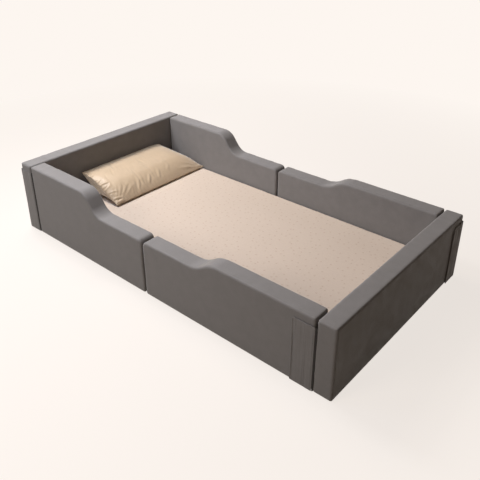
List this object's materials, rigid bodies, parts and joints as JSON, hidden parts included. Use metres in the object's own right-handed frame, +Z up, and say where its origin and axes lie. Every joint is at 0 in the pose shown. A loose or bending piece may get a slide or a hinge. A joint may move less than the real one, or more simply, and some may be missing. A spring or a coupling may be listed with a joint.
{
  "type": "toddler floor bed",
  "caption": "Low floor bed for a toddler: padded walls with entry dips and corner wings round a mattress with fitted sheet and pillow.",
  "frame": {"origin": "middle of the footprint, on the floor", "axes": "+Z up, +X from the head end to the foot end, -Y the near long side"},
  "size_m": [2.007, 1.097, 0.395],
  "materials": {
    "wall_fabric": "matt warm grey faux-leather microfibre cloth, smooth with a fine grain",
    "wall_foam": "cut polyurethane foam with bevelled edges",
    "zip_tape": "woven zip tape with a nylon coil",
    "zip_metal": "dark enamelled zip slider",
    "hook_tape": "nylon hook tape",
    "loop_tape": "nylon loop patch",
    "base_cloth": "quilted base mat cloth",
    "grip": "non-slip dotted underside sheet",
    "ticking": "mattress ticking",
    "mattress_foam": "cut mattress foam",
    "sheet_cotton": "cream cotton with a small sparse sprig pattern",
    "elastic": "gathered hem elastic",
    "pillow_satin": "soft cream cotton satin",
    "pillow_fill": "white fibre filling"
  },
  "bodies": {
    "root": {"back_foot_wing_loop_patch": "loop_tape", "back_foot_wing_strip": "wall_fabric", "base_grip_sheet": "grip", "base_hook_tapes": "hook_tape", "base_loop_tapes": "loop_tape", "base_mat": "base_cloth", "foot_cover": "wall_fabric", "foot_foam": "wall_foam", "foot_zip_tapes": "zip_tape", "front_head_wing_loop_patch": "loop_tape", "front_head_wing_strip": "wall_fabric", "head_cover": "wall_fabric", "head_foam": "wall_foam", "head_zip_tapes": "zip_tape"},
    "front_head_wall": {"front_head_cover": "wall_fabric", "front_head_foam": "wall_foam", "front_head_zip_tapes": "zip_tape", "front_mid_hook_strip": "hook_tape"},
    "front_foot_wall": {"front_foot_cover": "wall_fabric", "front_foot_foam": "wall_foam", "front_foot_wing_loop_patch": "loop_tape", "front_foot_wing_strip": "wall_fabric", "front_foot_zip_tapes": "zip_tape", "front_mid_loop_strip": "loop_tape"},
    "back_head_wall": {"back_head_cover": "wall_fabric", "back_head_foam": "wall_foam", "back_head_wing_loop_patch": "loop_tape", "back_head_wing_strip": "wall_fabric", "back_head_zip_tapes": "zip_tape", "back_mid_hook_strip": "hook_tape"},
    "back_foot_wall": {"back_foot_cover": "wall_fabric", "back_foot_foam": "wall_foam", "back_foot_zip_tapes": "zip_tape", "back_mid_loop_strip": "loop_tape"},
    "front_head_leaf": {"front_head_wing_hook_tape": "hook_tape", "front_head_wing_leaf": "wall_fabric"},
    "front_foot_leaf": {"front_foot_wing_hook_tape": "hook_tape", "front_foot_wing_leaf": "wall_fabric"},
    "back_head_leaf": {"back_head_wing_hook_tape": "hook_tape", "back_head_wing_leaf": "wall_fabric"},
    "back_foot_leaf": {"back_foot_wing_hook_tape": "hook_tape", "back_foot_wing_leaf": "wall_fabric"},
    "mattress": {"fitted_sheet": "sheet_cotton", "mattress_cover": "ticking", "mattress_foam": "mattress_foam", "mattress_zip_tapes": "zip_tape", "sheet_elastic": "elastic"},
    "pillow": {"pillow_filling": "pillow_fill", "pillowcase": "pillow_satin"},
    "head_slider": {"head_zip_slider": "zip_metal"},
    "foot_slider": {"foot_zip_slider": "zip_metal"},
    "front_head_slider": {"front_head_zip_slider": "zip_metal"},
    "front_foot_slider": {"front_foot_zip_slider": "zip_metal"},
    "back_head_slider": {"back_head_zip_slider": "zip_metal"},
    "back_foot_slider": {"back_foot_zip_slider": "zip_metal"},
    "mattress_slider": {"mattress_zip_slider": "zip_metal"}
  },
  "joints": [
    {"name": "front_head_swing", "type": "hinge", "parent": "root", "child": "front_head_wall", "pos_m": [-0.91, -0.5461, 0.15], "axis": [0, 0, -1], "range_deg": [0, 110]},
    {"name": "back_foot_swing", "type": "hinge", "parent": "root", "child": "back_foot_wall", "pos_m": [0.91, 0.5461, 0.15], "axis": [0, 0, -1], "range_deg": [0, 110]},
    {"name": "front_foot_swing", "type": "hinge", "parent": "root", "child": "front_foot_wall", "pos_m": [0.91, -0.5477, 0.15], "axis": [0, 0, 1], "range_deg": [0, 110]},
    {"name": "back_head_swing", "type": "hinge", "parent": "root", "child": "back_head_wall", "pos_m": [-0.91, 0.5477, 0.15], "axis": [0, 0, 1], "range_deg": [0, 110]},
    {"name": "front_head_wing_peel", "type": "hinge", "parent": "root", "child": "front_head_leaf", "pos_m": [-1.0027, -0.5461, 0.15], "axis": [0, 0, 1], "range_deg": [0, 150]},
    {"name": "back_foot_wing_peel", "type": "hinge", "parent": "root", "child": "back_foot_leaf", "pos_m": [1.0027, 0.5461, 0.15], "axis": [0, 0, 1], "range_deg": [0, 150]},
    {"name": "front_foot_wing_peel", "type": "hinge", "parent": "front_foot_wall", "child": "front_foot_leaf", "pos_m": [0.876, -0.5477, 0.15], "axis": [0, 0, 1], "range_deg": [0, 90]},
    {"name": "back_head_wing_peel", "type": "hinge", "parent": "back_head_wall", "child": "back_head_leaf", "pos_m": [-0.876, 0.5477, 0.15], "axis": [0, 0, 1], "range_deg": [0, 90]},
    {"name": "mattress_lift", "type": "slide", "parent": "root", "child": "mattress", "axis": [0, 0, 1], "range_m": [0, 0.42]},
    {"name": "pillow_lift", "type": "slide", "parent": "mattress", "child": "pillow", "axis": [0, 0, 1], "range_m": [0, 0.3]},
    {"name": "head_zip_run", "type": "slide", "parent": "root", "child": "head_slider", "axis": [0, 1, 0], "range_m": [0, 0.9372]},
    {"name": "foot_zip_run", "type": "slide", "parent": "root", "child": "foot_slider", "axis": [0, 1, 0], "range_m": [0, 0.9372]},
    {"name": "front_head_zip_run", "type": "slide", "parent": "front_head_wall", "child": "front_head_slider", "axis": [1, 0, 0], "range_m": [0, 0.7147]},
    {"name": "front_foot_zip_run", "type": "slide", "parent": "front_foot_wall", "child": "front_foot_slider", "axis": [1, 0, 0], "range_m": [0, 0.7887]},
    {"name": "back_head_zip_run", "type": "slide", "parent": "back_head_wall", "child": "back_head_slider", "axis": [1, 0, 0], "range_m": [0, 0.7147]},
    {"name": "back_foot_zip_run", "type": "slide", "parent": "back_foot_wall", "child": "back_foot_slider", "axis": [1, 0, 0], "range_m": [0, 0.7887]},
    {"name": "mattress_zip_run", "type": "slide", "parent": "mattress", "child": "mattress_slider", "axis": [0, 1, 0], "range_m": [0, 0.5122]}
  ]
}
